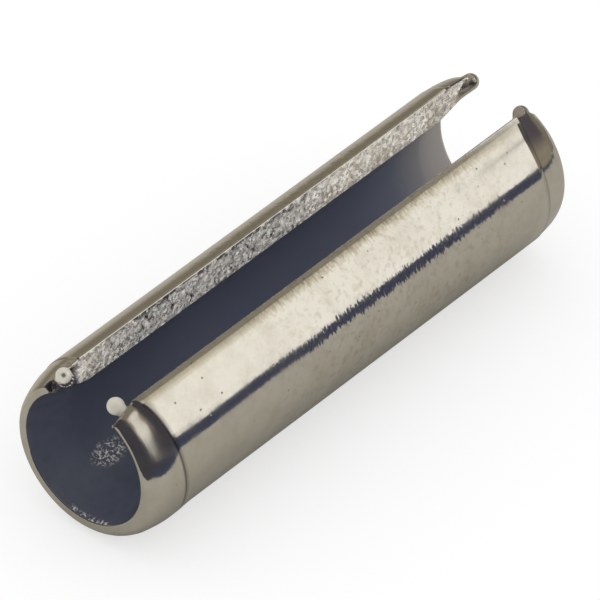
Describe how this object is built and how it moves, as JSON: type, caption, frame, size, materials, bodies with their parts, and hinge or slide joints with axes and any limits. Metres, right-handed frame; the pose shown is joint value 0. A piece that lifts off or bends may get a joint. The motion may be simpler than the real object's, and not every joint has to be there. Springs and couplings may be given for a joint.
{
  "type": "roll pin",
  "caption": "Slotted spring pin rolled from one strip of steel into an open C, with swaged, ball-shaped ends that start in a drilled hole.",
  "frame": {"origin": "on the pin's axis, midway between its end faces", "axes": "+X along the pin's axis towards the far end, +Z out through the middle of the slot, so that the pin lies on its side with the slot up"},
  "size_m": [0.0302, 0.0088, 0.0085],
  "materials": {
    "nickelled_spring_steel": "bright nickel on rolled strip, with rough sheared lips"
  },
  "bodies": {
    "root": {"roll_pin": "nickelled_spring_steel"}
  },
  "joints": []
}
